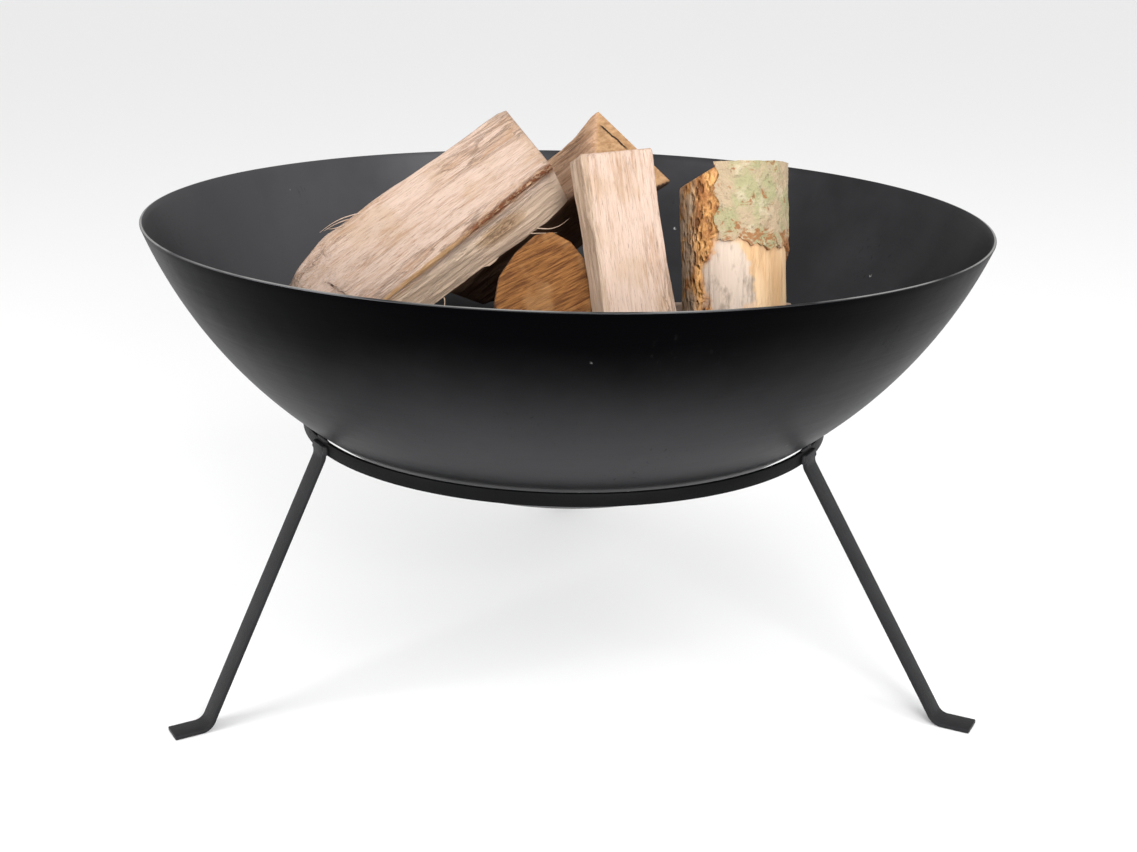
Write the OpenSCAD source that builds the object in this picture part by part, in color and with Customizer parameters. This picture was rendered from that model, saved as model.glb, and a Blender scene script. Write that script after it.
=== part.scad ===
// Steel fire bowl on a welded three-legged stand, loaded with split logs.
// Millimetres. +Z is up, the floor is z = 0 and the front of the stand faces -Y.

/* [Bowl] */
// Width of the bowl across its rim, outside
rim_width = 800; // [790:1:802]
// Outside radius of the dished sheet
dish_radius = 428.7; // [427:0.1:432]
// Height of the rim above the lower edge of the ring, along the ring's axis
rim_above_ring = 204.9; // [204:0.1:206]
// Thickness of the bowl's sheet steel
bowl_sheet = 2.5; // [1.5:0.1:3]

/* [Stand] */
// Outside radius of the ring that the bowl sits in
ring_radius = 257.5; // [255:0.5:259]
// Height of the ring's strip
ring_height = 12; // [10:0.5:13]
// Thickness of the ring's strip
ring_thickness = 4; // [3:0.5:5]
// Height of the middle of the ring's lower edge above the floor
ring_above_floor = 242; // [238:0.5:244]
// Slope of the ring and the bowl, right side down, because the legs aren't alike, degrees
ring_slope = 1.75; // [0:0.05:2]
// Width of the flat bar of the legs
leg_width = 23.5; // [20:0.5:30]
// Thickness of the flat bar of the legs
leg_thickness = 4; // [3:0.5:5]
// Direction of the left leg, degrees from the front
left_leg_turn = -60.7; // [-70:0.1:-50]
// Direction of the right leg, degrees from the front
right_leg_turn = 61.1; // [50:0.1:70]
// Direction of the rear leg, degrees from the front
rear_leg_turn = 180.2; // [175:0.1:185]
// Distance of the left knee from the stand's axis
left_knee_reach = 386; // [375:1:400]
// Distance of the right knee from the stand's axis
right_knee_reach = 395; // [385:1:410]
// Distance of the rear knee from the stand's axis
rear_knee_reach = 396; // [380:1:405]
// Length of each foot beyond its knee
foot_length = 33; // [24:1:45]
// Bend radius at the top of a leg, on the middle of the bar
top_bend = 10; // [6:1:16]
// Bend radius at the knee, on the middle of the bar
knee_bend = 13; // [8:1:18]

/* [Welds] */
// Radius of the beads beside the legs' top ends
side_bead = 3; // [2:0.5:4]
// Radius of the beads that the bowl rests on
rest_bead = 2; // [1.5:0.5:3]
// Length of the beads that the bowl rests on
rest_bead_length = 26; // [16:1:36]
// Clearance between the bowl and the beads below it
bowl_clearance = 0.3; // [0.1:0.1:0.5]

/* [Logs] */
// Length of the large split log that leans to the left
left_log_length = 278; // [240:1:278]
// Length of the wedge log at the back
back_log_length = 281; // [240:1:281]
// Length of the pale plank-like split in front
plank_log_length = 316; // [280:1:316]
// Length of the log with bark on the right
bark_log_length = 232; // [200:1:234]
// Thickness of the bark left on that log
bark_thickness = 4; // [2:0.5:4]
// Length of the dark round log whose end faces the front
dark_log_length = 252; // [220:1:252]
// Radius of the dark round log
dark_log_radius = 51; // [46:1:51]
// Length of the low log on the left
low_left_log_length = 250; // [200:1:250]
// Radius of the low log on the left
low_left_log_radius = 44; // [40:1:46]
// Length of the low split on the right
low_right_log_length = 218; // [180:1:218]

/* [View] */
// One node to build, or all of them

/* [Hidden] */
$fn = 96;
eps = 0.01;
// the part's origin lies under the middle of its outline
middle_x = rim_above_ring * sin(ring_slope);
middle_y = (rear_knee_reach + foot_length - rim_width / 2) / 2;
// the middle of the sphere that the bowl is part of, above the ring's lower edge
dish_z = rim_above_ring + sqrt(pow(dish_radius, 2) - pow(rim_width / 2, 2));
// how far the legs' top ends reach above and below the ring's lower edge
tab_above = ring_height - 3;
tab_below = 3;
// the beads under the bowl touch a sphere a clearance bigger than the bowl
bead_radius = ring_radius - ring_thickness / 2;
bead_z = dish_z - sqrt(pow(dish_radius + bowl_clearance + rest_bead, 2) - pow(bead_radius, 2));
wood_radius = 56 - bark_thickness;

// from the stand's axis to the part's origin
module on_axis() { translate([-middle_x, -middle_y, 0]) children(); }

// from the middle of the sloping ring's lower edge to the part's origin
module on_ring() { on_axis() translate([0, 0, ring_above_floor]) rotate([0, ring_slope, 0]) children(); }

// turns a piece drawn along +X to a leg's direction
module toward(turn) { on_axis() rotate([0, 0, turn - 90]) children(); }

// lays a log drawn along +Z from a point on its lower end
module laid(at, lean, turn, roll) {
  on_axis() translate(at) rotate([0, lean, turn]) rotate([0, 0, roll]) children();
}

// points along an arc, from one angle to another
function arc(centre, radius, from, to, steps = 10) =
  [for (i = [0:steps]) let (a = from + (to - from) * i / steps) [centre[0] + radius * cos(a), centre[1] + radius * sin(a)]];

// height of the ring's lower edge at a leg
function seat(turn) = ring_above_floor - ring_radius * sin(turn) * sin(ring_slope);

// flat bar down the ring's face, out along the slope, then flat on the floor
module leg(turn, knee) {
  half = leg_thickness / 2;
  start = ring_radius + half;
  bend = seat(turn) - tab_below;
  slope = atan2(knee - start, bend - half);
  top_centre = [start + top_bend, bend + top_bend * tan(slope / 2)];
  knee_centre = [knee + knee_bend * tan((90 - slope) / 2), half + knee_bend];
  difference() {
    toward(turn) rotate([90, 0, 0]) linear_extrude(leg_width, center = true) polygon(concat(
      [[start - half - 0.4, seat(turn) + tab_above]],
      arc([top_centre[0], top_centre[1]], top_bend + half + 0.4, 180, 180 + slope / 2),
      arc(top_centre, top_bend + half, 180 + slope / 2 + 1, 180 + slope),
      arc(knee_centre, knee_bend + half, 180 + slope, 270),
      [[knee + foot_length, 0], [knee + foot_length, leg_thickness]],
      arc(knee_centre, knee_bend - half, 270, 180 + slope),
      arc(top_centre, top_bend - half, 180 + slope, 180),
      [[start + half, seat(turn) + tab_above]]));
    on_ring() translate([0, 0, -60]) cylinder(h = 120, r = ring_radius, $fn = 720);
  }
}

module ring_body() {
  on_ring() difference() {
    cylinder(h = ring_height, r = ring_radius);
    translate([0, 0, -1]) cylinder(h = ring_height + 2, r = ring_radius - ring_thickness);
  }
}

// an upright bead in the corner between a leg's edge and the ring
module side_weld(turn, side) {
  color([0.10, 0.10, 0.11]) difference() {
    toward(turn) translate([ring_radius + 1, side * (leg_width / 2 + 0.6), seat(turn) + 1])
      cylinder(h = tab_above - 2, r = side_bead, $fn = 32);
    on_ring() translate([0, 0, -60]) cylinder(h = 120, r = ring_radius + eps, $fn = 720);
    toward(turn) translate([ring_radius - 10, -leg_width / 2 - eps, seat(turn) - 10])
      cube([10 + leg_thickness + side_bead, leg_width + 2 * eps, ring_height + 20]);
  }
}

// a bead along the ring's upper edge that carries the bowl
module rest_weld(turn) {
  sweep = rest_bead_length / bead_radius * 180 / PI;
  color([0.10, 0.10, 0.11]) difference() {
    on_ring() rotate([0, 0, turn - 90 - sweep / 2]) translate([0, 0, bead_z])
      rotate_extrude(angle = sweep) translate([bead_radius, 0]) circle(r = rest_bead, $fn = 32);
    on_ring() translate([-300, -300, -50]) cube([600, 600, 50 + ring_height + eps]);
  }
}

module fire_bowl() {
  color([0.09, 0.09, 0.10]) on_ring() translate([0, 0, dish_z]) difference() {
    sphere(r = dish_radius);
    sphere(r = dish_radius - bowl_sheet);
    translate([-500, -500, rim_above_ring - dish_z]) cube([1000, 1000, 700]);
  }
}

module support_ring() { color([0.12, 0.12, 0.13]) ring_body(); }
module left_leg() { color([0.12, 0.12, 0.13]) leg(left_leg_turn, left_knee_reach); }
module right_leg() { color([0.12, 0.12, 0.13]) leg(right_leg_turn, right_knee_reach); }
module rear_leg() { color([0.12, 0.12, 0.13]) leg(rear_leg_turn, rear_knee_reach); }

module left_leg_front_weld() { side_weld(left_leg_turn, 1); }
module left_leg_back_weld() { side_weld(left_leg_turn, -1); }
module right_leg_front_weld() { side_weld(right_leg_turn, -1); }
module right_leg_back_weld() { side_weld(right_leg_turn, 1); }
module rear_leg_left_weld() { side_weld(rear_leg_turn, 1); }
module rear_leg_right_weld() { side_weld(rear_leg_turn, -1); }
module left_rest_weld() { rest_weld(left_leg_turn); }
module right_rest_weld() { rest_weld(right_leg_turn); }
module rear_rest_weld() { rest_weld(rear_leg_turn); }

module left_split_log() {
  color([0.82, 0.68, 0.55]) laid([-250.4, -10.8, 344.5], 56.9, 15.3, 0.5) linear_extrude(left_log_length)
    polygon([[-52, 5], [20, -48], [63, -8], [40, 32], [-28, 44]]);
}

module back_wedge_log() {
  color([0.66, 0.47, 0.30]) laid([-122.4, 270.7, 381.3], 57.2, -47.9, -1) linear_extrude(back_log_length)
    polygon([[0, 0], [76, -42], [98, -2], [84, 54]]);
}

module front_plank_log() {
  color([0.85, 0.72, 0.62]) laid([90.1, -100.4, 206.1], 21.6, 111.1, -95.5) linear_extrude(plank_log_length)
    polygon([[-35, -18], [34, -18], [32, 16], [-38, 17]]);
}

// half a round log, its flat split face to the back
module bark_log() {
  color([0.76, 0.53, 0.34]) laid([171.9, 13.7, 254.6], 13.4, 93, -93.3) difference() {
    cylinder(h = bark_log_length, r = wood_radius);
    translate([-100, 28, -1]) cube([200, 100, bark_log_length + 2]);
  }
}

// the bark that is still on the upper right of that log
module bark_slab() {
  color([0.55, 0.52, 0.42]) laid([171.9, 13.7, 254.6], 13.4, 93, -93.3) translate([0, 0, bark_log_length - 104])
    rotate([0, 0, -112]) rotate_extrude(angle = 128) translate([wood_radius + 0.05, 0]) square([bark_thickness, 104]);
}

module dark_round_log() {
  color([0.45, 0.30, 0.18]) laid([-40.8, 193, 263.4], 63.3, -85.7, -1.4) cylinder(h = dark_log_length, r = dark_log_radius);
}

module low_left_log() {
  color([0.72, 0.55, 0.40]) laid([-136.1, -142.5, 284.5], 89, 92.3, 1.2) cylinder(h = low_left_log_length, r = low_left_log_radius);
}

module low_right_log() {
  color([0.74, 0.57, 0.42]) laid([31.5, 174.5, 283.8], 86, -17.9, -0.3) linear_extrude(low_right_log_length)
    polygon([[31, 8], [22, 23], [-4, 31], [-27, 16], [-31, -8], [-8, -30], [22, -22]]);
}

fire_bowl();
support_ring();
left_leg();
right_leg();
rear_leg();
left_leg_front_weld();
left_leg_back_weld();
right_leg_front_weld();
right_leg_back_weld();
rear_leg_left_weld();
rear_leg_right_weld();
left_rest_weld();
right_rest_weld();
rear_rest_weld();
left_split_log();
back_wedge_log();
front_plank_log();
bark_log();
bark_slab();
dark_round_log();
low_left_log();
low_right_log();
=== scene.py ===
"""Looks of the fire bowl: dished sheet steel, a painted three-legged stand and a pile of split logs."""
import math

import bpy
from bpy.props import FloatProperty, FloatVectorProperty, PointerProperty
from mathutils import Matrix, Vector


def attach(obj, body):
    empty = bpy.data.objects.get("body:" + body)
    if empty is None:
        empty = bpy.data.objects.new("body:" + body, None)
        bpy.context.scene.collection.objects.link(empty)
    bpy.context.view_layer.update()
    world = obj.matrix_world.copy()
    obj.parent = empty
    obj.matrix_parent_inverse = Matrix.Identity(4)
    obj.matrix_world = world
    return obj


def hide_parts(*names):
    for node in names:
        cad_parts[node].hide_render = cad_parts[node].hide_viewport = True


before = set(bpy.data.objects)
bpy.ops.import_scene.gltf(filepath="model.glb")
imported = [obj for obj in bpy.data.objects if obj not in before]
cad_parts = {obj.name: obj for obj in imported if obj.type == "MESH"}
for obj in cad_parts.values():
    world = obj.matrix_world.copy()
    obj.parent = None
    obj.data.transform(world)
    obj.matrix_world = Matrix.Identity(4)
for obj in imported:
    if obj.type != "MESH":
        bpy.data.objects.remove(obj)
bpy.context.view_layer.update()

bl_info = {
    "name": "Fire Bowl with Logs",
    "version": (1, 0, 0),
    "blender": (4, 5, 0),
    "location": "View3D > Sidebar > Fire Bowl",
    "description": "Models a sheet steel fire bowl on a welded stand, filled with split logs",
    "category": "Add Mesh",
}

MM = 0.001
RIM_RADIUS = 400 * MM
DISH_RADIUS = 428.7 * MM
RIM_ABOVE_RING = 204.9 * MM
DISH_ABOVE_RING = RIM_ABOVE_RING + math.sqrt(DISH_RADIUS ** 2 - RIM_RADIUS ** 2)
RING_RADIUS = 257.5 * MM
RING_FOOT = 242 * MM
# the ring slopes down to the right, and the bowl with it
SLOPE = math.radians(1.75)
# the stand's axis, seen from the part's origin
AXIS = Vector((-RIM_ABOVE_RING * math.sin(SLOPE), -14.5 * MM, 0.0))
ON_RING = Matrix.Translation(AXIS + Vector((0, 0, RING_FOOT))) @ Matrix.Rotation(SLOPE, 4, "Y")
# each leg's direction about the stand's axis in degrees, and its knee's distance from the axis
LEGS = {
    "left": (-60.7, 386 * MM),
    "right": (61.1, 395 * MM),
    "rear": (180.2, 396 * MM),
}
# where each log lies, in millimetres and degrees: a point on its lower end, its lean, its turn and its roll
LIES = {
    "left_split_log": ((-250.4, -10.8, 344.5), 56.9, 15.3, 0.5),
    "back_wedge_log": ((-122.4, 270.7, 381.3), 57.2, -47.9, -1),
    "front_plank_log": ((90.1, -100.4, 206.1), 21.6, 111.1, -95.5),
    "bark_log": ((171.9, 13.7, 254.6), 13.4, 93, -93.3),
    "dark_round_log": ((-40.8, 193, 263.4), 63.3, -85.7, -1.4),
    "low_left_log": ((-136.1, -142.5, 284.5), 89, 92.3, 1.2),
    "low_right_log": ((31.5, 174.5, 283.8), 86, -17.9, -0.3),
}
# the camera, seen from the foot of the stand's axis, and its pitch, yaw and roll in radians
EYE = Vector((0, -1.5415, 0.7317))
GAZE = (0.3142, 0.0028, -0.0085)
# a log is roughened while squashed along its grain, so that its splinters run lengthways
SQUASH = 6.0


# ---------------------------------------------------------------- sizes and colours

class BowlSettings(bpy.types.PropertyGroup):
    sheet: FloatProperty(
        name="Sheet thickness", description="Thickness of the bowl's steel",
        default=2.5 * MM, unit="LENGTH")
    steel: FloatVectorProperty(
        name="Steel", description="Colour that the blackened steel reflects",
        default=(0.034, 0.034, 0.036), size=3, subtype="COLOR")
    # painted dark reflection: the band below the rim stands for the shaded floor that the sheet reflects
    # there
    painted_dark_reflection: FloatVectorProperty(
        name="Painted dark reflection", description="Colour of the darker band below the rim",
        default=(0.0012, 0.0012, 0.0015), size=3, subtype="COLOR")
    edge: FloatVectorProperty(
        name="Cut edge", description="Colour of the worn edge of the rim",
        default=(0.42, 0.42, 0.41), size=3, subtype="COLOR")


class StandSettings(bpy.types.PropertyGroup):
    ring_height: FloatProperty(
        name="Ring height", description="Height of the ring's strip",
        default=12 * MM, unit="LENGTH")
    ring_thickness: FloatProperty(
        name="Ring thickness", description="Thickness of the ring's strip",
        default=4 * MM, unit="LENGTH")
    bar_width: FloatProperty(
        name="Bar width", description="Width of the legs' flat bar",
        default=23.5 * MM, unit="LENGTH")
    bar_thickness: FloatProperty(
        name="Bar thickness", description="Thickness of the legs' flat bar",
        default=4 * MM, unit="LENGTH")
    top_bend: FloatProperty(
        name="Top bend", description="Bend radius below the ring",
        default=10 * MM, unit="LENGTH")
    knee_bend: FloatProperty(
        name="Knee bend", description="Bend radius above the foot",
        default=13 * MM, unit="LENGTH")
    foot: FloatProperty(
        name="Foot", description="Length of a foot beyond its knee",
        default=33 * MM, unit="LENGTH")
    paint: FloatVectorProperty(
        name="Paint", description="Black paint of the stand",
        default=(0.012, 0.012, 0.013), size=3, subtype="COLOR")


class WoodSettings(bpy.types.PropertyGroup):
    voxel: FloatProperty(
        name="Grain size", description="Size of the facets across the grain",
        default=1.0 * MM, unit="LENGTH")
    pale: FloatVectorProperty(
        name="Fresh wood", description="Pale pinkish wood of a fresh split",
        default=(0.60, 0.45, 0.365), size=3, subtype="COLOR")
    tan: FloatVectorProperty(
        name="Tan wood", description="Yellower wood between the pale fibres",
        default=(0.40, 0.245, 0.155), size=3, subtype="COLOR")
    torn: FloatVectorProperty(
        name="Torn fibre", description="Dark fibres in tears and cracks",
        default=(0.10, 0.045, 0.02), size=3, subtype="COLOR")
    bark: FloatVectorProperty(
        name="Bark", description="Tan of the thin bark",
        default=(0.50, 0.38, 0.25), size=3, subtype="COLOR")
    lichen: FloatVectorProperty(
        name="Lichen", description="Grey green on the bark",
        default=(0.38, 0.37, 0.20), size=3, subtype="COLOR")


class StageSettings(bpy.types.PropertyGroup):
    floor: FloatVectorProperty(
        name="Floor", description="Colour of the floor",
        default=(0.94, 0.94, 0.94), size=3, subtype="COLOR")
    sky: FloatProperty(
        name="Room light", description="Strength of the even light of the room",
        default=0.88, min=0)
    lens: FloatProperty(
        name="Lens", description="Focal length of the camera in millimetres",
        default=51.204)


# ---------------------------------------------------------------- shader writing

class Wire:
    """One shader socket that takes part in Python sums."""

    def __init__(self, finish, socket):
        self.finish, self.socket = finish, socket

    def maths(self, operation, *others):
        inputs = dict(enumerate((self, *others)))
        return self.finish.add("ShaderNodeMath", {"operation": operation}, inputs)

    def __add__(self, other):
        return self.maths("ADD", other)

    def __sub__(self, other):
        return self.maths("SUBTRACT", other)

    def __rsub__(self, other):
        return self.finish.add("ShaderNodeMath", {"operation": "SUBTRACT"}, {0: other, 1: self})

    def __mul__(self, other):
        return self.maths("MULTIPLY", other)

    def __truediv__(self, other):
        return self.maths("DIVIDE", other)

    def __rtruediv__(self, other):
        return self.finish.add("ShaderNodeMath", {"operation": "DIVIDE"}, {0: other, 1: self})

    def __pow__(self, other):
        return self.maths("POWER", other)

    def __abs__(self):
        return self.maths("ABSOLUTE")

    def __neg__(self):
        return self.maths("MULTIPLY", -1.0)

    __radd__ = __add__
    __rmul__ = __mul__

    def ramp(self, low, high):
        """Runs smoothly from nothing at low to one at high."""
        inputs = {"Value": self, "From Min": low, "From Max": high}
        return self.finish.add("ShaderNodeMapRange", {"interpolation_type": "SMOOTHSTEP"}, inputs)


class Finish:
    """A material under construction."""

    def __init__(self, name):
        self.material = bpy.data.materials.new(name)
        self.material.use_nodes = True
        self.tree = self.material.node_tree
        self.surface = self.tree.nodes["Principled BSDF"]

    def put(self, socket, value):
        if isinstance(value, Wire):
            self.tree.links.new(value.socket, socket)
        elif socket.type == "RGBA" and len(value) == 3:
            socket.default_value = (*value, 1.0)
        else:
            socket.default_value = value

    def add(self, kind, settings=None, inputs=None, output=0):
        """Any node: its settings first, then the values or wires of its inputs."""
        node = self.tree.nodes.new(kind)
        for key, value in (settings or {}).items():
            setattr(node, key, value)
        for key, value in (inputs or {}).items():
            self.put(node.inputs[key], value)
        return Wire(self, node.outputs[output])

    def set(self, **values):
        """Sets sockets of the surface, such as Base_Color or Roughness."""
        for key, value in values.items():
            self.put(self.surface.inputs[key.replace("_", " ")], value)
        return self

    def place(self):
        return self.add("ShaderNodeTexCoord", output="Object")

    def grain(self):
        """The place of a point in its own log, with the grain along Z."""
        return self.add("ShaderNodeAttribute", {"attribute_name": "grain"}, output="Vector")

    def cut(self):
        """One on a log's sawn ends and nothing on its sides."""
        return self.add("ShaderNodeAttribute", {"attribute_name": "cut"}, output="Fac")

    def stretch(self, vector, scale):
        return self.add("ShaderNodeVectorMath", {"operation": "MULTIPLY"}, {0: vector, 1: scale})

    def noise(self, vector, scale, detail=3.0, roughness=0.55, distortion=0.0):
        inputs = {"Vector": vector, "Scale": scale, "Detail": detail, "Roughness": roughness}
        return self.add("ShaderNodeTexNoise", None, {**inputs, "Distortion": distortion})

    def cells(self, vector, scale, feature="F1"):
        inputs = {"Vector": vector, "Scale": scale}
        return self.add("ShaderNodeTexVoronoi", {"feature": feature}, inputs, "Distance")

    def parts(self, vector):
        node = self.add("ShaderNodeSeparateXYZ", None, {0: vector}).socket.node
        return [Wire(self, out) for out in node.outputs]

    def normal(self):
        return self.add("ShaderNodeNewGeometry", output="Normal")

    def blend(self, amount, first, second):
        """Mixes two colours: the first where the amount is nothing, the second where it is one."""
        node = self.add("ShaderNodeMix", {"data_type": "RGBA"}).socket.node
        for key, value in ((0, amount), (6, first), (7, second)):
            self.put(node.inputs[key], value)
        return Wire(self, node.outputs[2])

    def bump(self, height, depth, strength=1.0, before=None):
        """Turns a height into a bent normal, on top of the bump before it."""
        inputs = {"Height": height, "Distance": depth, "Strength": strength}
        if before:
            inputs["Normal"] = before
        return self.add("ShaderNodeBump", None, inputs)


def paint_over(piece, finish):
    piece.data.materials.clear()
    piece.data.materials.append(finish.material)


# ---------------------------------------------------------------- modelling helpers

def start_clean():
    if bpy.context.object and bpy.context.object.mode != "OBJECT":
        bpy.ops.object.mode_set(mode="OBJECT")
    bpy.ops.object.select_all(action="DESELECT")


def only(piece):
    start_clean()
    piece.select_set(True)
    bpy.context.view_layer.objects.active = piece


def edit(piece):
    """Opens a piece for face edits with everything selected."""
    only(piece)
    bpy.ops.object.mode_set(mode="EDIT")
    bpy.ops.mesh.select_mode(type="FACE")
    bpy.ops.mesh.select_all(action="SELECT")


def done():
    bpy.ops.object.mode_set(mode="OBJECT")


def modify(piece, kind, **settings):
    """Adds one modifier and applies it."""
    only(piece)
    modifier = piece.modifiers.new(kind.title(), kind)
    for key, value in settings.items():
        setattr(modifier, key, value)
    bpy.ops.object.modifier_apply(modifier=modifier.name)


def settle(piece, move=(0, 0, 0), turn=None, scale=None):
    """Puts a piece in place and leaves its object at the origin."""
    only(piece)
    piece.location = move
    if turn is not None:
        piece.rotation_euler = turn
    if scale is not None:
        piece.scale = scale
    bpy.ops.object.transform_apply(location=True, rotation=True, scale=True)


def soften(piece, angle=35):
    only(piece)
    bpy.ops.object.shade_smooth_by_angle(angle=math.radians(angle))


def finish_piece(piece, name, body, node, finish):
    piece.name = name
    piece.data.name = name
    paint_over(piece, finish)
    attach(piece, body)
    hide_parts(node)


# ---------------------------------------------------------------- finishes

def shaded(colour, factor):
    return [channel * factor for channel in colour]


def bowl_finish(s):
    """Blackened sheet: a painted dark reflection in a band below the rim outside, a darker inside as painted
    shade with a painted sheen that makes its left greyer, faint spinning marks.
    """
    f = Finish("blackened sheet steel")
    at = f.place()
    x, _, z = f.parts(at)
    upward = f.parts(f.normal())[2]
    cloudy = f.noise(at, 7.0, 4.0, 0.6)
    height = z + (cloudy - 0.5) * 0.05
    outside = (-upward).ramp(-0.05, 0.1)
    # painted dark reflection: a near-black band below the rim outside stands for the shaded floor that the
    # sheet reflects
    band = height.ramp(0.27, 0.42) * outside
    spun = f.noise(f.stretch(at, (3.0, 3.0, 120.0)), 3.0, 4.0, 0.7)
    scuffs = f.noise(f.stretch(at, (220.0, 220.0, 30.0)), 1.0, 3.0, 0.6)
    patch = f.noise(at, 11.0, 2.0).ramp(0.56, 0.68)
    scuff = scuffs.ramp(0.60, 0.72) * patch
    specks = f.cells(at, 30.0).ramp(0.07, 0.03)
    specks = specks * f.noise(at, 7.0, 1.0).ramp(0.55, 0.60) * f.noise(at, 400.0, 2.0).ramp(0.45, 0.5)
    # painted sheen: the inside turns greyer towards the left, where the lamps' reflection falls
    painted_sheen_left = x.ramp(0.05, -0.34) * (1 - outside) * (0.5 + cloudy * 0.5)
    # painted shade: the inside keeps the plain steel colour and the outside a brighter copy, so the inside
    # reads darker
    colour = f.blend(outside, s.steel, shaded(s.steel, 1.7))
    colour = f.blend(cloudy.ramp(0.35, 0.75) * 0.5, colour, shaded(s.steel, 2.0))
    colour = f.blend(painted_sheen_left, colour, shaded(s.steel, 3.2))
    colour = f.blend(band, colour, s.painted_dark_reflection)
    colour = f.blend(scuff * 0.35, colour, shaded(s.steel, 0.5))
    colour = f.blend(specks * 0.8, colour, (0.6, 0.6, 0.58))
    rim = (z + x * math.sin(SLOPE)).ramp(0.437, 0.441) * upward.ramp(0.75, 0.9)
    worn = f.noise(at, 9.0, 3.0).ramp(0.3, 0.55)
    colour = f.blend(rim * worn, colour, s.edge)
    rough = 0.40 + (spun - 0.5) * 0.10 + (cloudy - 0.5) * 0.16 + scuff * 0.12
    dents = f.bump(f.noise(at, 14.0, 2.0), 0.0016, 0.5)
    f.set(Base_Color=colour, Metallic=1.0, Specular_Tint=(0.65, 0.65, 0.65), Roughness=rough,
          Normal=f.bump(spun + scuffs * 0.5, 0.00012, 0.5, dents))
    return f


def paint_finish(s, name="textured black paint", shade=1.0, shine=0.12):
    """Black paint with a fine pebble and a few worn streaks."""
    f = Finish(name)
    at = f.place()
    pebble = f.noise(at, 900.0, 2.0, 0.6)
    wear = f.noise(at, 60.0, 4.0, 0.7).ramp(0.66, 0.76)
    streak = f.noise(f.stretch(at, (60.0, 60.0, 500.0)), 1.0, 3.0).ramp(0.66, 0.74)
    cloudy = f.noise(at, 22.0, 3.0).ramp(0.3, 0.7) * 0.5
    colour = f.blend(cloudy, shaded(s.paint, shade), shaded(s.paint, shade * 1.7))
    colour = f.blend(wear * streak * 0.8, colour, (0.20, 0.20, 0.20))
    f.set(Base_Color=colour, Metallic=0.0, Roughness=0.48 + (pebble - 0.5) * 0.25, Specular_IOR_Level=shine,
          Normal=f.bump(pebble, 0.0006, 0.55))
    return f


def weld_finish(s):
    f = Finish("painted weld bead")
    ripple = f.noise(f.place(), 420.0, 3.0, 0.6)
    f.set(Base_Color=f.blend(ripple, s.paint, shaded(s.paint, 1.5)), Roughness=0.42 + ripple * 0.15,
          Specular_IOR_Level=0.15, Normal=f.bump(ripple, 0.0008, 0.6))
    return f


def wood_finish(name, pale, tan, torn, marks=None, tear=0.5, rough=0.72):
    """Split wood: long fibres, broad bands of tone, dark tears, and rings on the sawn ends.

    marks adds what only one log has: it takes and gives back the colour and the height of the grain.
    """
    f = Finish(name)
    g = f.grain()
    x, y, _ = f.parts(g)
    broad = f.noise(f.stretch(g, (1, 1, 0.2)), 26.0, 3.0, 0.55, 0.4)
    band = f.noise(f.stretch(g, (1, 1, 0.09)), 150.0, 5.0, 0.62, 0.6)
    fibre = f.noise(f.stretch(g, (1, 1, 0.04)), 700.0, 5.0, 0.72, 0.3)
    thread = f.noise(f.stretch(g, (1, 1, 0.05)), 1300.0, 3.0, 0.65)
    ridge = 1 - abs(band - 0.5) * 22
    lines = ridge.ramp(0.2, 1.0) * broad.ramp(0.44, 0.62)
    tone = broad.ramp(0.36, 0.70) * 0.35 + band.ramp(0.38, 0.68) * 0.45 + (fibre - 0.5) * 2.1
    side = f.blend(tone.ramp(0.0, 1.0), pale, tan)
    stains = f.noise(g, 17.0, 2.0).ramp(0.5, 0.66)
    side = f.blend(stains * 0.35, side, (tan[0] * 1.05, tan[1] * 1.1, tan[2] * 0.95))
    side = f.blend(lines * tear, side, torn)
    side = f.blend((thread - 0.56).ramp(0.0, 0.12) * 0.45, side, torn)
    ring = f.noise(f.stretch(g, (1, 1, 0)), 30.0, 2.0)
    rings = (((x * x + y * y) ** 0.5 + ring * 0.012) * 900.0).maths("SINE")
    year = rings * 0.18 + 0.45 + (f.noise(g, 300.0, 3.0) - 0.5) * 0.5
    colour = f.blend(f.cut(), side, f.blend(year, shaded(pale, 0.92), shaded(tan, 0.78)))
    height = fibre * 0.8 + band * 1.2 + thread * 0.25 + broad * 0.5 - lines * 0.5
    if marks:
        colour, height = marks(f, g, colour, height)
    f.set(Base_Color=colour, Roughness=rough + (fibre - 0.5) * 0.2, Specular_IOR_Level=0.3,
          Normal=f.bump(height, 0.0035, 0.75))
    return f


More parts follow.
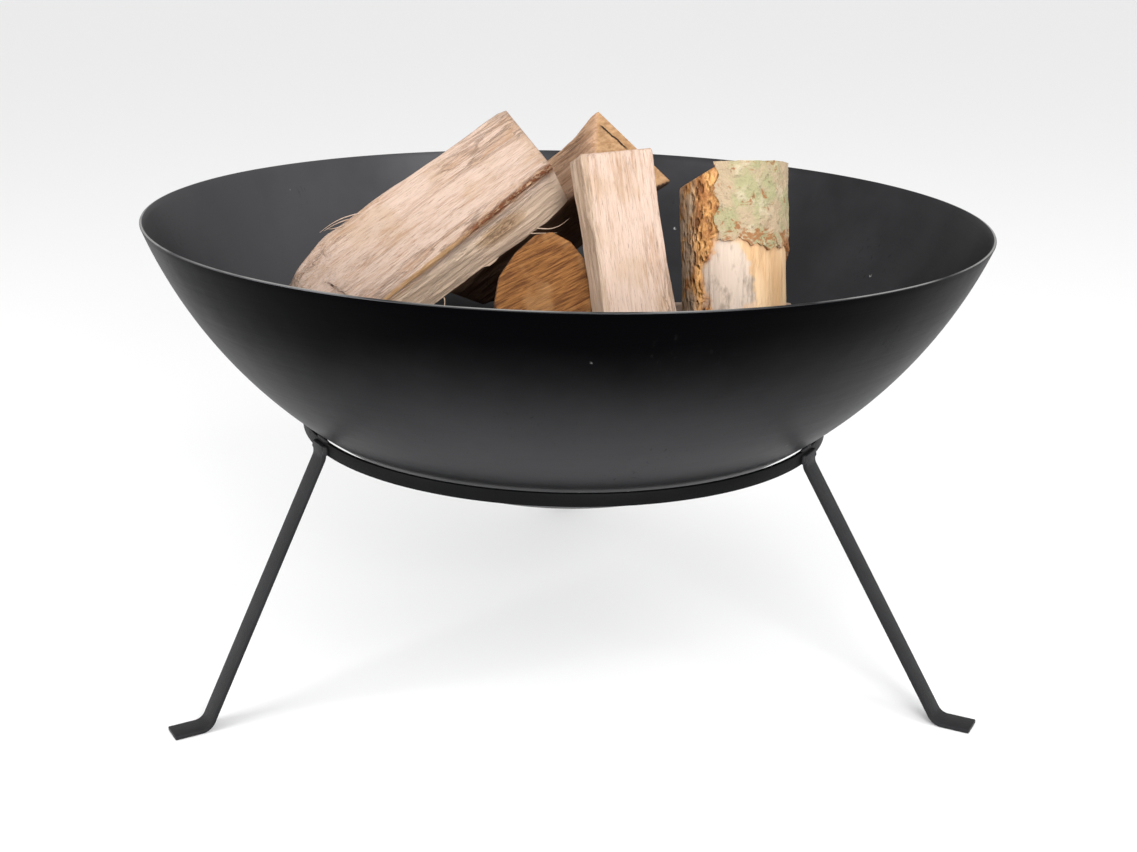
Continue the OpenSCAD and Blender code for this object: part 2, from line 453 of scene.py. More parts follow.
def left_log_marks(f, g, colour, height):
    """A torn line down the ridge, red-brown near the upper end, a paler side below it that is painted light,
    and a knot.
    """
    x, y, z = f.parts(g)
    under = (x + (f.noise(f.stretch(g, (1, 1, 0.1)), 60.0) - 0.5) * 0.02).ramp(0.018, 0.030)
    colour = f.blend(under * (-y).ramp(-0.02, 0.0) * 0.6, colour, (0.60, 0.40, 0.22))
    ridge_x = x - 0.020 + z * 0.047
    ridge_y = y + 0.047 + z * 0.007
    near = (ridge_x ** 2 + ridge_y ** 2) ** 0.5
    ragged = f.noise(f.stretch(g, (1, 1, 0.5)), 300.0, 3.0, 0.7)
    tear = (near + (ragged - 0.5) * 0.006).ramp(0.0065, 0.0035) * z.ramp(0.15, 0.19)
    strokes = ragged.ramp(0.40, 0.55)
    colour = f.blend(tear * strokes, colour, (0.17, 0.055, 0.02))
    colour = f.blend(tear * (1 - strokes) * 0.6, colour, (0.42, 0.21, 0.08))
    thin = (near + (ragged - 0.5) * 0.004).ramp(0.0042, 0.0022) * z.ramp(0.19, 0.15)
    colour = f.blend(thin * 0.75, colour, (0.40, 0.22, 0.08))
    knot = (((z - 0.205) / 0.026) ** 2 + ((x - 0.033) / 0.011) ** 2) ** 0.5 + (ragged - 0.5) * 1.1
    dark_knot = knot.ramp(1.0, 0.55) * ragged.ramp(0.45, 0.60) * (-y).ramp(0.0, 0.01)
    colour = f.blend(dark_knot * 0.75, colour, (0.22, 0.12, 0.06))
    # painted light: the lower face below the ridge is lifted towards near-white wood, except at the knot
    painted_light_side = (x - 0.024 + z * 0.047).ramp(0.0, 0.007) * (1 - f.cut())
    colour = f.blend(painted_light_side * (1 - knot.ramp(1.3, 0.8)) * 0.5, colour, (0.95, 0.77, 0.62))
    return colour, height - tear * strokes * 1.6


def back_wedge_marks(f, g, colour, height):
    """A warm sawn end with a crack painted near-black as shade, and painted shadow on its underside."""
    x, y, _ = f.parts(g)
    grain_of_end = f.noise(f.stretch(g, (1, 0.4, 1)), 240.0, 4.0, 0.65).ramp(0.35, 0.65)
    colour = f.blend(f.cut() * 0.8, colour, f.blend(grain_of_end, (0.66, 0.40, 0.20), (0.42, 0.22, 0.09)))
    # painted shadow: the side beyond the wide edge turns near-black where the other logs shade it
    under = x.ramp(0.066, 0.080) * (1 - f.cut())
    colour = f.blend(under * 0.9, colour, (0.045, 0.022, 0.012))
    wander = (f.noise(g, 130.0, 3.0) - 0.5) * 0.007
    along = (x - 0.020) * 0.763 + (y + 0.004) * 0.647
    across = (y + 0.004) * 0.763 - (x - 0.020) * 0.647
    # painted shade: the crack in the sawn end is painted near-black
    crack = abs(across + wander).ramp(0.0017, 0.0006) * along.ramp(-0.003, 0.001) * along.ramp(0.038, 0.030)
    colour = f.blend(f.cut() * crack, colour, (0.035, 0.014, 0.006))
    return colour, height - crack * f.cut() * 2.0


def front_plank_marks(f, g, colour, height):
    """Painted shade: a slightly darker left side."""
    side = (-f.parts(g)[0]).ramp(0.028, 0.033)
    return f.blend(side * 0.45, colour, (0.50, 0.37, 0.25)), height


def bark_log_marks(f, g, colour, height):
    """Rough orange inner bark on the left, a pale scar in the middle and smooth yellow wood."""
    x, y, z = f.parts(g)
    front = (-y).ramp(-0.02, 0.0)
    lumps = f.noise(f.stretch(g, (1, 1, 0.6)), 90.0, 4.0, 0.65)
    pits = f.cells(f.stretch(g, (1, 1, 0.55)), 170.0).ramp(0.25, 0.55)
    inner = f.blend(lumps.ramp(0.38, 0.62), (0.80, 0.42, 0.15), (0.40, 0.16, 0.05))
    inner = f.blend((1 - pits) * lumps.ramp(0.4, 0.6) * 0.7, inner, (0.13, 0.045, 0.014))
    wander = (f.noise(g, 24.0, 3.0) - 0.5) * 0.03
    left = (x + wander).ramp(-0.004, -0.022) * front
    smooth_tone = f.noise(f.stretch(g, (1, 1, 0.3)), 45.0, 3.0).ramp(0.3, 0.7)
    colour = f.blend(front, colour, f.blend(smooth_tone, (0.86, 0.60, 0.36), (0.70, 0.43, 0.22)))
    colour = f.blend(left, colour, inner)
    spot = (((x + 0.010) / 0.028) ** 2 + ((z - 0.118) / 0.044) ** 2) ** 0.5 + (f.noise(g, 50.0, 3.0) - 0.5)
    scar_tone = f.noise(f.stretch(g, (1, 1, 0.4)), 90.0, 4.0, 0.6).ramp(0.50, 0.66) * 0.7
    scar = f.blend(scar_tone, (0.66, 0.53, 0.43), (0.30, 0.22, 0.16))
    colour = f.blend(spot.ramp(1.0, 0.75) * front, colour, scar)
    pale_edge = (x + wander * 0.6).ramp(-0.036, -0.046) * front * f.noise(g, 40.0).ramp(0.4, 0.55)
    colour = f.blend(pale_edge * 0.8, colour, (0.56, 0.44, 0.32))
    torn_side = left * spot.ramp(0.9, 1.1)
    return colour, height * (1 - front * 0.7) + lumps * torn_side * 3.0 + pits * torn_side * 1.5


def dark_log_marks(f, g, colour, height):
    """Slanted saw marks over the orange-brown end."""
    x, y, _ = f.parts(g)
    across = f.add("ShaderNodeCombineXYZ", None, {0: (y * 0.89 - x * 0.45) * 0.07, 1: x * 0.89 + y * 0.45})
    saw = f.noise(across, 420.0, 5.0, 0.7, 0.5)
    end = f.blend(saw.ramp(0.34, 0.66), (0.40, 0.17, 0.048), (0.115, 0.038, 0.010))
    end = f.blend(f.noise(g, 34.0, 3.0).ramp(0.48, 0.68) * 0.5, end, (0.48, 0.25, 0.10))
    return f.blend(f.cut(), colour, end), height * 0.5 - saw * f.cut() * 2.0


def bark_finish(w):
    """Thin grey-green bark with brown flecks, more of them near its torn lower and left edges."""
    f = Finish("thin grey green bark")
    g = f.grain()
    x, _, z = f.parts(g)
    flakes = f.cells(f.stretch(g, (1, 1, 0.7)), 95.0, "SMOOTH_F1")
    rough = f.noise(g, 120.0, 5.0, 0.7)
    patch = f.noise(g, 34.0, 4.0, 0.6)
    colour = f.blend(patch.ramp(0.46, 0.62) * 0.85, w.bark, w.lichen)
    colour = f.blend(f.noise(g, 60.0, 4.0).ramp(0.54, 0.68) * 0.7, colour, (0.62, 0.53, 0.37))
    fresh = f.noise(g, 70.0, 4.0, 0.7, 1.0) + z.ramp(0.18, 0.155) * 0.13 + x.ramp(0.0, -0.03) * 0.05
    colour = f.blend(fresh.ramp(0.58, 0.66) * 0.85, colour, (0.33, 0.13, 0.045))
    colour = f.blend(rough.ramp(0.58, 0.72) * 0.65, colour, (0.12, 0.06, 0.03))
    f.set(Base_Color=colour, Roughness=0.85, Specular_IOR_Level=0.2,
          Normal=f.bump(rough * 1.3 + flakes * 0.8, 0.004, 0.9))
    return f


# ---------------------------------------------------------------- logs

def blank(levels, bevel=1.2 * MM):
    """A split piece of wood along Z through its sections, (height, points) each, squashed along its grain."""
    start_clean()
    first = levels[0][1]
    bpy.ops.mesh.primitive_circle_add(vertices=len(first), radius=0.05, fill_type="NGON")
    piece = bpy.context.object
    for vertex, (px, py) in zip(piece.data.vertices, first):
        vertex.co = (px * MM, py * MM, 0)
    for (low, before), (high, points) in zip(levels, levels[1:]):
        bpy.ops.object.mode_set(mode="EDIT")
        bpy.ops.mesh.select_mode(type="FACE")
        if low == 0:
            bpy.ops.mesh.select_all(action="SELECT")
        rise = (high - low) * MM / SQUASH
        bpy.ops.mesh.extrude_region_move(TRANSFORM_OT_translate={"value": (0, 0, rise)})
        done()
        for vertex in piece.data.vertices:
            if vertex.select:
                gaps = [(vertex.co.x - px * MM) ** 2 + (vertex.co.y - py * MM) ** 2 for px, py in before]
                px, py = points[gaps.index(min(gaps))]
                vertex.co.x, vertex.co.y = px * MM, py * MM
    edit(piece)
    bpy.ops.mesh.normals_make_consistent(inside=False)
    bpy.ops.mesh.bevel(offset=bevel, segments=1, affect="EDGES")
    done()
    return piece


def strands(name, log, finish, lines, radius=0.42 * MM):
    """Thin splinters that still hang on a log, each a bent line through three points."""
    made = []
    for low, middle, high in lines:
        start_clean()
        bpy.ops.curve.primitive_bezier_curve_add()
        line = bpy.context.object
        foot, tip = line.data.splines[0].bezier_points
        bend = Vector(middle) * MM
        for point, place in ((foot, low), (tip, high)):
            point.co = Vector(place) * MM
            point.handle_left_type = point.handle_right_type = "FREE"
        foot.handle_left, foot.handle_right = foot.co, foot.co.lerp(bend, 0.8)
        tip.handle_left, tip.handle_right = tip.co.lerp(bend, 0.8), tip.co
        foot.radius, tip.radius = 1.6, 0.35
        line.data.bevel_depth = radius
        line.data.bevel_resolution = 2
        line.data.use_fill_caps = True
        line.data.resolution_u = 14
        bpy.ops.object.convert(target="MESH")
        made.append(bpy.context.object)
    start_clean()
    for line in made:
        line.select_set(True)
    bpy.context.view_layer.objects.active = made[0]
    bpy.ops.object.join()
    piece = bpy.context.object
    lay(piece, log)
    piece.name = name
    paint_over(piece, finish)
    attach(piece, log)


def roundwood(radius, length, sides=40):
    """A round log along Z, squashed along its grain."""
    start_clean()
    depth = length * MM / SQUASH
    middle = (0, 0, depth / 2)
    bpy.ops.mesh.primitive_cylinder_add(vertices=sides, radius=radius * MM, depth=depth, location=middle)
    piece = bpy.context.object
    settle(piece, piece.location.copy())
    edit(piece)
    bpy.ops.mesh.bevel(offset=0.8 * MM, segments=1, affect="EDGES")
    done()
    return piece


def clouds(kind, size, **settings):
    texture = bpy.data.textures.new("roughness of split wood", kind)
    texture.noise_scale = size * MM
    for key, value in settings.items():
        setattr(texture, key, value)
    return texture


def roughen(piece, seed, voxel, coarse=7.0, splinters=3.5, fine=1.2):
    """Turns a clean blank into torn wood: swells, split steps and fine fibres on its sides."""
    modify(piece, "REMESH", mode="VOXEL", voxel_size=voxel, use_smooth_shade=True)
    # the patterns are read in world space, so each log stands elsewhere in them
    piece.location = (seed * 0.37, seed * 0.53, seed * 0.29)
    sides = piece.vertex_groups.new(name="sides")
    for vertex in piece.data.vertices:
        weight = 1.0 - min(max((abs(vertex.normal.z) - 0.35) / 0.3, 0.0), 1.0)
        if weight > 0:
            sides.add([vertex.index], weight, "REPLACE")
    for texture, strength in (
        (clouds("CLOUDS", 42, noise_depth=1), coarse),
        (clouds("VORONOI", 11, distance_metric="DISTANCE_SQUARED", noise_intensity=1.0), splinters),
        (clouds("CLOUDS", 5, noise_depth=3, noise_type="HARD_NOISE"), fine),
    ):
        modify(piece, "DISPLACE", texture=texture, strength=strength * MM, mid_level=0.5,
               vertex_group="sides", texture_coords="GLOBAL")
    piece.location = (0, 0, 0)
    settle(piece, scale=(1, 1, SQUASH))


def lay(piece, log):
    """Keeps each point's place in the log for its grain, then lays the log in the bowl."""
    at, lean, turn, roll = LIES[log]
    mesh = piece.data
    mesh.attributes.new("grain", "FLOAT_VECTOR", "POINT")
    mesh.attributes.new("cut", "FLOAT", "POINT")
    places = [c for vertex in mesh.vertices for c in vertex.co]
    cuts = [1.0 if abs(vertex.normal.z) > 0.75 else 0.0 for vertex in mesh.vertices]
    mesh.attributes["grain"].data.foreach_set("vector", places)
    mesh.attributes["cut"].data.foreach_set("value", cuts)
    turned = Matrix.Identity(4)
    for angle, axis in ((turn, "Z"), (lean, "Y"), (roll, "Z")):
        turned = turned @ Matrix.Rotation(math.radians(angle), 4, axis)
    settle(piece, AXIS + Vector(at) * MM, turned.to_euler())
    soften(piece, 60)


def finish_log(piece, log, name, finish):
    lay(piece, log)
    finish_piece(piece, name, log, log, finish)


# ---------------------------------------------------------------- operators

class FIREBOWL_OT_bowl(bpy.types.Operator):
    """Models the dished bowl: part of a sphere, cut level, given its sheet thickness and a rounded rim"""
    bl_idname = "firebowl.bowl"
    bl_label = "Bowl"

    def execute(self, context):
        s = context.scene.firebowl_bowl
        start_clean()
        bpy.ops.mesh.primitive_uv_sphere_add(segments=240, ring_count=180, radius=DISH_RADIUS)
        piece = context.object
        edit(piece)
        rim = (0, 0, RIM_ABOVE_RING - DISH_ABOVE_RING)
        bpy.ops.mesh.bisect(plane_co=rim, plane_no=(0, 0, 1), clear_outer=True)
        done()
        modify(piece, "SOLIDIFY", thickness=s.sheet, offset=-1.0, use_even_offset=True)
        modify(piece, "BEVEL", width=0.7 * MM, segments=3, limit_method="ANGLE", angle_limit=math.radians(40))
        settle(piece, ON_RING @ Vector((0, 0, DISH_ABOVE_RING)), (0, SLOPE, 0))
        soften(piece, 40)
        finish_piece(piece, "bowl_shell", "bowl", "fire_bowl", bowl_finish(s))
        return {"FINISHED"}


def flat_bar_leg(s, turn, knee, name, node, finish):
    """Flat bar down the ring's face, bent out along the slope and flat again at the floor."""
    half = s.bar_thickness / 2
    start = RING_RADIUS + half - 0.2 * MM
    seat = RING_FOOT - RING_RADIUS * math.sin(math.radians(turn)) * math.sin(SLOPE)
    top = seat + s.ring_height - 3 * MM
    bend_height = seat - 3 * MM
    slope = math.atan2(knee - start, bend_height - half)
    top_tangent = s.top_bend * math.tan(slope / 2)
    knee_turn = math.pi / 2 - slope
    knee_tangent = s.knee_bend * math.tan(knee_turn / 2)
    shank = math.hypot(knee - start, bend_height - half) - top_tangent - knee_tangent
    bend_start = bend_height + top_tangent
    start_clean()
    bpy.ops.mesh.primitive_plane_add(size=1, location=(start, 0, top))
    piece = bpy.context.object
    piece.scale = (s.bar_thickness, s.bar_width, 1)
    settle(piece, piece.location.copy())
    edit(piece)
    bpy.ops.mesh.extrude_region_move(TRANSFORM_OT_translate={"value": (0, 0, bend_start - top)})
    bpy.ops.mesh.spin(steps=8, angle=slope, center=(start + s.top_bend, 0, bend_start), axis=(0, 1, 0))
    along = (math.sin(slope), 0, -math.cos(slope))
    bpy.ops.mesh.extrude_region_move(TRANSFORM_OT_translate={"value": [shank * a for a in along]})
    knee_centre = (knee + knee_tangent, 0, half + s.knee_bend)
    bpy.ops.mesh.spin(steps=10, angle=knee_turn, center=knee_centre, axis=(0, 1, 0))
    bpy.ops.mesh.extrude_region_move(TRANSFORM_OT_translate={"value": (s.foot - knee_tangent, 0, 0)})
    bpy.ops.mesh.select_all(action="SELECT")
    bpy.ops.mesh.remove_doubles(threshold=0.00001)
    bpy.ops.mesh.normals_make_consistent(inside=False)
    done()
    modify(piece, "BEVEL", width=0.7 * MM, segments=2, limit_method="ANGLE", angle_limit=math.radians(50))
    settle(piece, AXIS, (0, 0, math.radians(turn - 90)))
    soften(piece)
    finish_piece(piece, name, "stand", node, finish)
    return piece


class FIREBOWL_OT_stand(bpy.types.Operator):
    """Models the ring of flat strip and the three bent legs"""
    bl_idname = "firebowl.stand"
    bl_label = "Ring and legs"

    def execute(self, context):
        s = context.scene.firebowl_stand
        finish = paint_finish(s)
        start_clean()
        middle = RING_RADIUS - s.ring_thickness / 2
        place = (middle, 0, s.ring_height / 2)
        bpy.ops.mesh.primitive_plane_add(size=1, location=place, rotation=(math.pi / 2, 0, 0))
        ring = context.object
        ring.scale = (s.ring_thickness, s.ring_height, 1)
        settle(ring, ring.location.copy())
        edit(ring)
        bpy.ops.mesh.spin(steps=256, angle=2 * math.pi, center=(0, 0, 0), axis=(0, 0, 1))
        bpy.ops.mesh.select_all(action="SELECT")
        bpy.ops.mesh.remove_doubles(threshold=0.00001)
        bpy.ops.mesh.select_all(action="DESELECT")
        bpy.ops.mesh.select_interior_faces()
        bpy.ops.mesh.delete(type="ONLY_FACE")
        bpy.ops.mesh.select_all(action="SELECT")
        bpy.ops.mesh.normals_make_consistent(inside=False)
        done()
        modify(ring, "BEVEL", width=0.6 * MM, segments=2, limit_method="ANGLE", angle_limit=math.radians(50))
        settle(ring, ON_RING.translation, (0, SLOPE, 0))
        soften(ring)
        # painted shade: the ring's paint is darkened to a fifth for the shadow under the bowl
        shadowed = paint_finish(s, "ring paint darkened as painted shade", 0.2, 0.06)
        finish_piece(ring, "ring_strip", "stand", "support_ring", shadowed)
        for side, (turn, knee) in LEGS.items():
            flat_bar_leg(s, turn, knee, side + "_leg_bar", side + "_leg", finish)
        return {"FINISHED"}


def weld_run(length, radius):
    """A bead along X with the ripples of its weld pool and rounded ends."""
    start_clean()
    along_x = (0, math.pi / 2, 0)
    bpy.ops.mesh.primitive_cylinder_add(vertices=20, radius=radius, depth=length, rotation=along_x)
    piece = bpy.context.object
    settle(piece, piece.location.copy(), piece.rotation_euler.copy())
    edit(piece)
    steps = 22
    for i in range(1, steps):
        bpy.ops.mesh.select_all(action="SELECT")
        bpy.ops.mesh.bisect(plane_co=(length * (i / steps - 0.5), 0, 0), plane_no=(1, 0, 0))
    done()
    for vertex in piece.data.vertices:
        u = abs(vertex.co.x) / (length / 2)
        taper = math.sqrt(max(1 - u ** 4, 0.05))
        pool = math.sin(vertex.co.x / (0.9 * MM) + abs(vertex.co.y) / radius * 1.6)
        ripple = 1 + 0.09 * pool + 0.05 * math.sin(vertex.co.x * 430)
        vertex.co.y *= taper * ripple
        vertex.co.z *= taper * ripple
    modify(piece, "SUBSURF", levels=1, render_levels=1)
    return piece


class FIREBOWL_OT_welds(bpy.types.Operator):
    """Models the beads beside the legs' top ends and the beads that the bowl rests on"""
    bl_idname = "firebowl.welds"
    bl_label = "Weld beads"

    def execute(self, context):
        s = context.scene.firebowl_stand
        finish = weld_finish(s)
        middle = RING_RADIUS - s.ring_thickness / 2
        bead_height = DISH_ABOVE_RING - math.sqrt((DISH_RADIUS + 2.3 * MM) ** 2 - middle ** 2)
        names = {"left": ("front", "back"), "right": ("back", "front"), "rear": ("left", "right")}
        for side, (turn, _) in LEGS.items():
            about = ON_RING @ Matrix.Rotation(math.radians(turn - 90), 4, "Z")
            for sign, end in zip((1, -1), names[side]):
                piece = weld_run(9.5 * MM, 3.1 * MM)
                beside = sign * (s.bar_width / 2 + 0.4 * MM)
                settle(piece, turn=(0, math.pi / 2, 0))
                settle(piece, (RING_RADIUS + 0.8 * MM, beside, 4.6 * MM))
                settle(piece, about.translation, about.to_euler())
                soften(piece, 60)
                name = f"{side}_leg_{end}"
                finish_piece(piece, name + "_bead", "stand", name + "_weld", finish)
            piece = weld_run(26 * MM, 1.95 * MM)
            settle(piece, turn=(0, 0, math.pi / 2))
            for vertex in piece.data.vertices:
                vertex.co.x -= vertex.co.y ** 2 / (2 * middle)
            settle(piece, (middle, 0, bead_height))
            settle(piece, about.translation, about.to_euler())
            soften(piece, 60)
            finish_piece(piece, side + "_rest_bead", "stand", side + "_rest_weld", finish)
        return {"FINISHED"}


class FIREBOWL_OT_left_split_log(bpy.types.Operator):
    """Models the large split log that leans over the left of the bowl"""
    bl_idname = "firebowl.left_split_log"
    bl_label = "Left split log"

    def execute(self, context):
        w = context.scene.firebowl_wood
        finish = wood_finish("left split wood", w.pale, w.tan, w.torn, left_log_marks, tear=0.35)
        back = [(40, 32), (-28, 44)]
        piece = blank([
            (0, [(-28, 5), (20, -48), (56, -10), *back]),
            (22, [(-45, 5), (20, -48), (60, -10), *back]),
            (60, [(-56, 4), (19, -48), (63, -8), *back]),
            (240, [(-53, 5), (9, -50), (64, -8), *back]),
            (278, [(-52, 5), (7, -50), (57, -10), *back]),
        ])
        roughen(piece, 1, w.voxel)
        finish_log(piece, "left_split_log", "left_split_wood", finish)
        strands("left_split_splinters", "left_split_log", finish, (
            ((-53, 2, 106), (-64, -2, 84), (-64, -8, 62)),
            ((-55, 4, 92), (-60, 2, 80), (-61, 0, 66)),
            ((-54, 0, 84), (-58, -3, 74), (-62, -6, 70)),
            ((58, -14, 236), (72, -15, 250), (68, -20, 268)),
            ((60, -10, 228), (68, -12, 240), (74, -16, 250)),
            ((60, -12, 122), (68, -14, 118), (69, -16, 110)),
        ))
        return {"FINISHED"}


class FIREBOWL_OT_back_wedge_log(bpy.types.Operator):
    """Models the wedge log at the back, its cracked end towards the front"""
    bl_idname = "firebowl.back_wedge_log"
    bl_label = "Back wedge log"

    def execute(self, context):
        w = context.scene.firebowl_wood
        finish = wood_finish("back wedge wood", (0.66, 0.42, 0.27), (0.40, 0.20, 0.10), w.torn,
                             back_wedge_marks, tear=0.7)
        wide = [(76, -42), (98, -2), (88, 62)]
        hollowed = ((0, (0, 0)), (150, (10, -3)), (225, (12, -4)), (281, (-1, 0)))
        piece = blank([(height, [ridge, *wide]) for height, ridge in hollowed], 1.5 * MM)
        roughen(piece, 2, w.voxel, coarse=6.0)
        finish_log(piece, "back_wedge_log", "back_wedge_wood", finish)
        return {"FINISHED"}


class FIREBOWL_OT_front_plank_log(bpy.types.Operator):
    """Models the pale plank-like split that stands in front"""
    bl_idname = "firebowl.front_plank_log"
    bl_label = "Front plank"

    def execute(self, context):
        w = context.scene.firebowl_wood
        finish = wood_finish("front plank wood", shaded(w.pale, 1.12), shaded(w.tan, 1.15), w.torn,
                             front_plank_marks, tear=0.55)
        piece = blank([
            (0, [(-34, -18), (34, -18), (32, 16), (-37, 17)]),
            (150, [(-36, -17), (35, -19), (32, 16), (-39, 17)]),
            (240, [(-34, -18), (33, -18), (31, 16), (-37, 17)]),
            (316, [(-37, -18), (35, -19), (32, 16), (-39, 17)]),
        ], 0.8 * MM)
        roughen(piece, 3, w.voxel, coarse=3.5, splinters=2.0, fine=1.0)
        finish_log(piece, "front_plank_log", "front_plank_wood", finish)
        return {"FINISHED"}


def bark_sheet(radius, length, drop):
    """Bark round a log from its upper end down to a ragged edge, thick outwards from the wood."""
    start_clean()
    low, sweep, first = (length - drop) * MM, math.radians(128), math.radians(-112)
    bpy.ops.mesh.primitive_grid_add(x_subdivisions=150, y_subdivisions=90, size=1)
    sheet = bpy.context.object
    for vertex in sheet.data.vertices:
        u, v = vertex.co.x + 0.5, vertex.co.y + 0.5
        waves = 0.003 * math.sin(u * 11) + 0.0018 * math.sin(u * 37 + 1) + 0.001 * math.sin(u * 83)
        ragged = (waves - 0.014 * u * u) * (1 - v)
        angle = first + u * sweep + 0.05 * math.sin(v * 17) * (1 - u)
        height = low + ragged + v * (drop * MM - ragged)
        vertex.co = (radius * MM * math.cos(angle), radius * MM * math.sin(angle), height)
    edit(sheet)
    bpy.ops.mesh.normals_make_consistent(inside=False)
    done()
    face = sheet.data.polygons[0]
    inwards = face.normal.dot(Vector((face.center.x, face.center.y, 0))) < 0
    if inwards:
        edit(sheet)
        bpy.ops.mesh.flip_normals()
        done()
    modify(sheet, "SOLIDIFY", thickness=3.4 * MM, offset=1.0)
    modify(sheet, "DISPLACE", texture=clouds("CLOUDS", 9, noise_depth=3), strength=2.2 * MM, mid_level=0.6,
           texture_coords="LOCAL")
    return sheet


class FIREBOWL_OT_bark_log(bpy.types.Operator):
    """Models the half log on the right and the bark that is still on it"""
    bl_idname = "firebowl.bark_log"
    bl_label = "Bark log"

    def execute(self, context):
        w = context.scene.firebowl_wood
        length = 232
        finish = wood_finish("bark log wood", w.pale, w.tan, w.torn, bark_log_marks, tear=0.3, rough=0.6)
        piece = roundwood(52, length, 48)
        notch = (-12 * MM, 0, length * MM / SQUASH)
        split = (0, 28 * MM, 0)
        edit(piece)
        for place, facing in ((notch, (-0.55 / SQUASH, 0, 1)), (split, (0, 1, 0))):
            bpy.ops.mesh.select_all(action="SELECT")
            bpy.ops.mesh.bisect(plane_co=place, plane_no=facing, clear_outer=True, use_fill=True)
        done()
        roughen(piece, 4, w.voxel, coarse=4.0, splinters=1.2, fine=0.8)
        finish_log(piece, "bark_log", "bark_log_wood", finish)
        sheet = bark_sheet(52.2, length, 78)
        lay(sheet, "bark_log")
        finish_piece(sheet, "bark_log_bark", "bark_log", "bark_slab", bark_finish(w))
        return {"FINISHED"}


class FIREBOWL_OT_dark_round_log(bpy.types.Operator):
    """Models the dark round log whose rough end faces the front"""
    bl_idname = "firebowl.dark_round_log"
    bl_label = "Dark round log"

    def execute(self, context):
        w = context.scene.firebowl_wood
        # the very dark browns of the sides are partly the log's own dark wood and partly painted shade of the
        # pile it lies in
        finish = wood_finish("dark log wood", (0.20, 0.10, 0.05), (0.11, 0.05, 0.02), (0.04, 0.02, 0.01),
                             dark_log_marks, tear=0.6, rough=0.8)
        dome = [
            (50, 0), (42, 38), (20, 52), (-5, 54), (-33, 46), (-50, 33),
            (-60, 15), (-57, -2), (-39, -22), (-15, -38), (12, -43), (38, -33),
        ]
        piece = blank([(0, dome), (252, dome)])
        roughen(piece, 5, w.voxel, coarse=6.0, splinters=3.0)
        finish_log(piece, "dark_round_log", "dark_round_wood", finish)
        return {"FINISHED"}


class FIREBOWL_OT_low_logs(bpy.types.Operator):
    """Models the two logs at the bottom of the pile"""
    bl_idname = "firebowl.low_logs"
    bl_label = "Low logs"

    def execute(self, context):
        w = context.scene.firebowl_wood
        finish = wood_finish("low log wood", shaded(w.pale, 0.86), shaded(w.tan, 0.8), w.torn)
        piece = roundwood(44, 250)
        roughen(piece, 6, w.voxel, coarse=6.0)
        finish_log(piece, "low_left_log", "low_left_wood", finish)
        section = [(31, 8), (22, 23), (-4, 31), (-27, 16), (-31, -8), (-8, -30), (22, -22)]
        piece = blank([(0, section), (218, section)])
        roughen(piece, 7, w.voxel, coarse=4.0, splinters=2.5)
        finish_log(piece, "low_right_log", "low_right_wood", finish)
        return {"FINISHED"}


def soft_room(context, strength):
    """Even white light from all sides."""
    world = bpy.data.worlds.new("soft room")
    context.scene.world = world
    world.use_nodes = True
    background = world.node_tree.nodes["Background"]
    background.inputs["Color"].default_value = (1.0, 1.0, 1.0, 1.0)
    background.inputs["Strength"].default_value = strength


def softbox(name, at, towards, size, power):
    bpy.ops.object.light_add(type="AREA", location=at)
    light = bpy.context.object
    light.name = name
    light.data.size = size
    light.data.energy = power
    light.rotation_euler = (Vector(towards) - Vector(at)).to_track_quat("-Z", "Y").to_euler()


def camera_at(at, pitch, yaw, roll, lens):
    """The camera: it looks along +Y, down by its pitch, turned right by its yaw and rolled."""
    bpy.ops.object.camera_add()
    camera = bpy.context.object
    camera.name = "camera"
    camera.data.lens = lens
    camera.data.sensor_width = 36
    level = math.cos(pitch)
    ahead = Vector((math.sin(yaw) * level, math.cos(yaw) * level, -math.sin(pitch)))
    flat = Vector((math.cos(yaw), -math.sin(yaw), 0))
    steep = flat.cross(ahead)
    right = math.cos(roll) * flat + math.sin(roll) * steep
    up = math.cos(roll) * steep - math.sin(roll) * flat
    camera.matrix_world = Matrix.Translation(at) @ Matrix((right, up, -ahead)).transposed().to_4x4()
    return camera


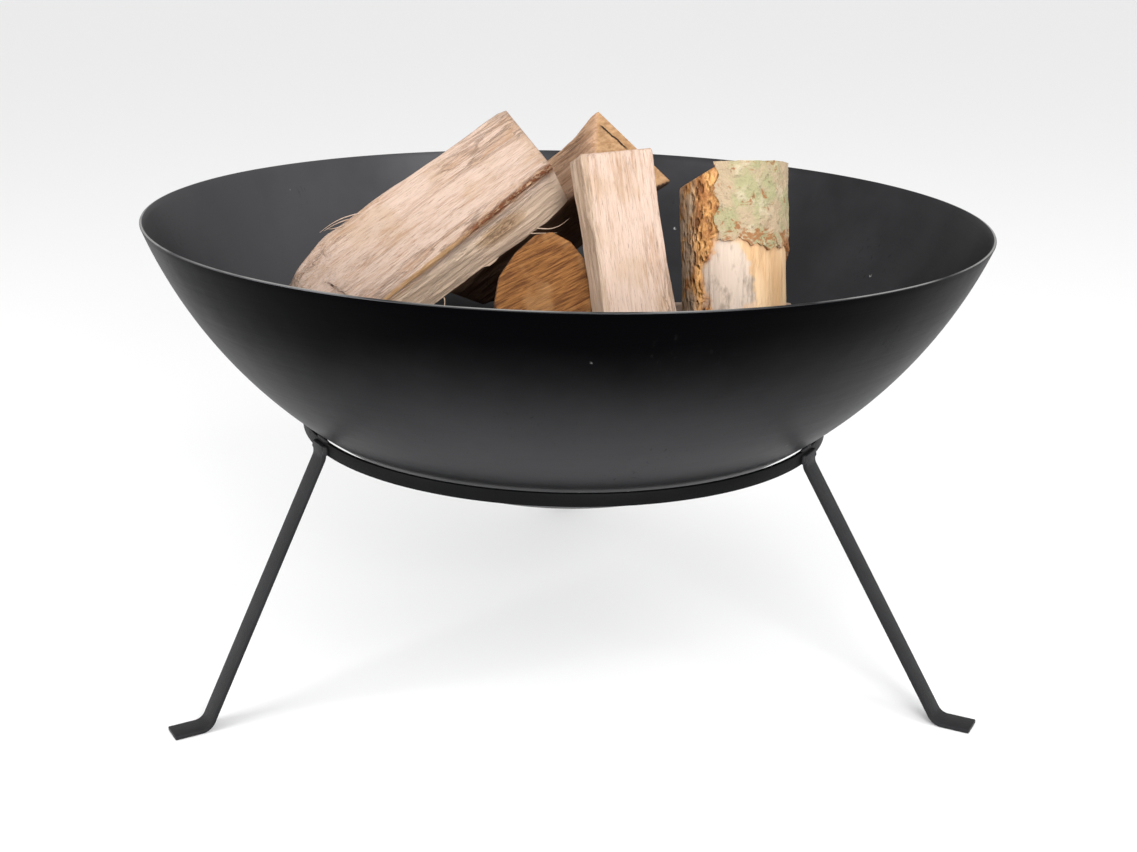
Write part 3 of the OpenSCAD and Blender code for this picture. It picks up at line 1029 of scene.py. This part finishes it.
class FIREBOWL_OT_stage(bpy.types.Operator):
    """Sets up the floor, the soft lights and the camera"""
    bl_idname = "firebowl.stage"
    bl_label = "Stage"

    def execute(self, context):
        s = context.scene.firebowl_stage
        start_clean()
        bpy.ops.mesh.primitive_plane_add(size=60, location=(0, 0, -0.5 * MM))
        floor = context.object
        floor.name = "floor"
        f = Finish("pale floor")
        f.set(Base_Color=tuple(s.floor), Roughness=0.9, Specular_IOR_Level=0.1)
        paint_over(floor, f)
        soft_room(context, s.sky)
        context.scene.view_settings.view_transform = "Standard"
        softbox("high right softbox", (1.4, -1.6, 2.1), (0, 0.1, 0.45), 1.4, 20)
        softbox("front softbox", (0.75, -2.4, 1.05), (0, 0, 0.45), 0.9, 52)
        softbox("left softbox", (-2.0, -1.3, 1.0), (0, 0, 0.5), 1.1, 36)
        context.scene.camera = camera_at(AXIS + EYE, *GAZE, s.lens)
        return {"FINISHED"}


class FIREBOWL_PT_panel(bpy.types.Panel):
    """Lists the pieces and their settings"""
    bl_label = "Fire Bowl"
    bl_idname = "FIREBOWL_PT_panel"
    bl_space_type = "VIEW_3D"
    bl_region_type = "UI"
    bl_category = "Fire Bowl"

    def draw(self, context):
        for group in GROUPS:
            box = self.layout.box()
            box.label(text=group.replace("firebowl_", "").title())
            settings = getattr(context.scene, group)
            for key in settings.__annotations__:
                box.prop(settings, key)
        for operator in OPERATORS:
            self.layout.operator(operator.bl_idname)


GROUPS = {
    "firebowl_bowl": BowlSettings,
    "firebowl_stand": StandSettings,
    "firebowl_wood": WoodSettings,
    "firebowl_stage": StageSettings,
}
OPERATORS = (
    FIREBOWL_OT_bowl,
    FIREBOWL_OT_stand,
    FIREBOWL_OT_welds,
    FIREBOWL_OT_left_split_log,
    FIREBOWL_OT_back_wedge_log,
    FIREBOWL_OT_front_plank_log,
    FIREBOWL_OT_bark_log,
    FIREBOWL_OT_dark_round_log,
    FIREBOWL_OT_low_logs,
    FIREBOWL_OT_stage,
)


def register():
    for item in (*GROUPS.values(), *OPERATORS, FIREBOWL_PT_panel):
        bpy.utils.register_class(item)
    for key, group in GROUPS.items():
        setattr(bpy.types.Scene, key, PointerProperty(type=group))


def unregister():
    for key in GROUPS:
        delattr(bpy.types.Scene, key)
    for item in reversed((*GROUPS.values(), *OPERATORS, FIREBOWL_PT_panel)):
        bpy.utils.unregister_class(item)


def main():
    register()
    bpy.ops.firebowl.bowl()
    bpy.ops.firebowl.stand()
    bpy.ops.firebowl.welds()
    bpy.ops.firebowl.left_split_log()
    bpy.ops.firebowl.back_wedge_log()
    bpy.ops.firebowl.front_plank_log()
    bpy.ops.firebowl.bark_log()
    bpy.ops.firebowl.dark_round_log()
    bpy.ops.firebowl.low_logs()
    bpy.ops.firebowl.stage()


if __name__ == "__main__":
    main()
